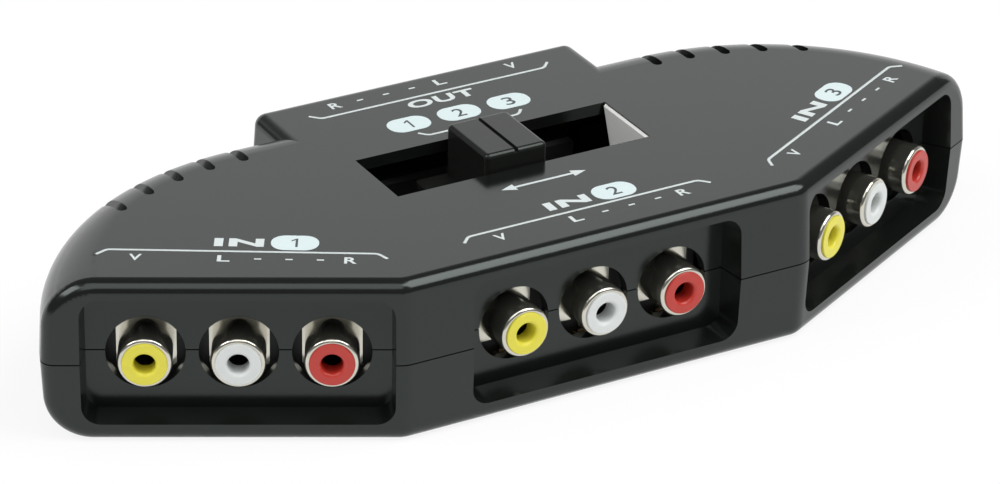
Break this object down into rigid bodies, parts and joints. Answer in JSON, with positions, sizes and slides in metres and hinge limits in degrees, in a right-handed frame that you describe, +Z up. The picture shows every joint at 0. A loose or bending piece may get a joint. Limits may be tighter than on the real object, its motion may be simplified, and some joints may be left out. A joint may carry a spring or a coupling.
{
  "type": "rca switch box",
  "caption": "Low dark plastic selector box with rows of phono jacks in recessed front panels, an output row behind and a slide knob on the roof.",
  "frame": {"origin": "under the middle of the case, on the surface that it stands on", "axes": "+X along the case to the right seen from the front, +Y from the middle front face to the output row, +Z up"},
  "size_m": [0.1656, 0.064, 0.03],
  "materials": {
    "case_plastic": "semi-gloss moulded plastic",
    "knob_plastic": "satin moulded plastic",
    "nickel": "bright nickel plate",
    "steel": "plated sheet steel",
    "spring_brass": "drawn",
    "yellow_insert": "moulded",
    "white_insert": "moulded",
    "red_insert": "moulded",
    "black_moulding": "moulded",
    "board": "resin-bonded paper",
    "screw_steel": "zinc plate"
  },
  "bodies": {
    "case": {"top_shell": "case_plastic", "bottom_shell": "case_plastic", "case_screws": "screw_steel", "input_1_video_shell": "nickel", "input_1_video_insert": "yellow_insert", "input_1_video_contact": "spring_brass", "input_1_left_shell": "nickel", "input_1_left_insert": "white_insert", "input_1_left_contact": "spring_brass", "input_1_right_shell": "nickel", "input_1_right_insert": "red_insert", "input_1_right_contact": "spring_brass", "input_1_jack_body": "black_moulding", "input_2_video_shell": "nickel", "input_2_video_insert": "yellow_insert", "input_2_video_contact": "spring_brass", "input_2_left_shell": "nickel", "input_2_left_insert": "white_insert", "input_2_left_contact": "spring_brass", "input_2_right_shell": "nickel", "input_2_right_insert": "red_insert", "input_2_right_contact": "spring_brass", "input_2_jack_body": "black_moulding", "input_3_video_shell": "nickel", "input_3_video_insert": "yellow_insert", "input_3_video_contact": "spring_brass", "input_3_left_shell": "nickel", "input_3_left_insert": "white_insert", "input_3_left_contact": "spring_brass", "input_3_right_shell": "nickel", "input_3_right_insert": "red_insert", "input_3_right_contact": "spring_brass", "input_3_jack_body": "black_moulding", "output_video_shell": "nickel", "output_video_insert": "yellow_insert", "output_video_contact": "spring_brass", "output_left_shell": "nickel", "output_left_insert": "white_insert", "output_left_contact": "spring_brass", "output_right_shell": "nickel", "output_right_insert": "red_insert", "output_right_contact": "spring_brass", "output_jack_body": "black_moulding", "circuit_board": "board", "board_screws": "screw_steel", "switch_frame": "steel", "switch_body": "black_moulding", "switch_terminals": "spring_brass"},
    "selector": {"selector_knob": "knob_plastic", "switch_carriage": "black_moulding", "switch_wipers": "spring_brass", "detent_spring": "steel"}
  },
  "joints": [
    {"name": "selector_slide", "type": "slide", "parent": "case", "child": "selector", "axis": [1, 0, 0], "range_m": [-0.009, 0.009], "deforming": ["detent_spring"]}
  ]
}
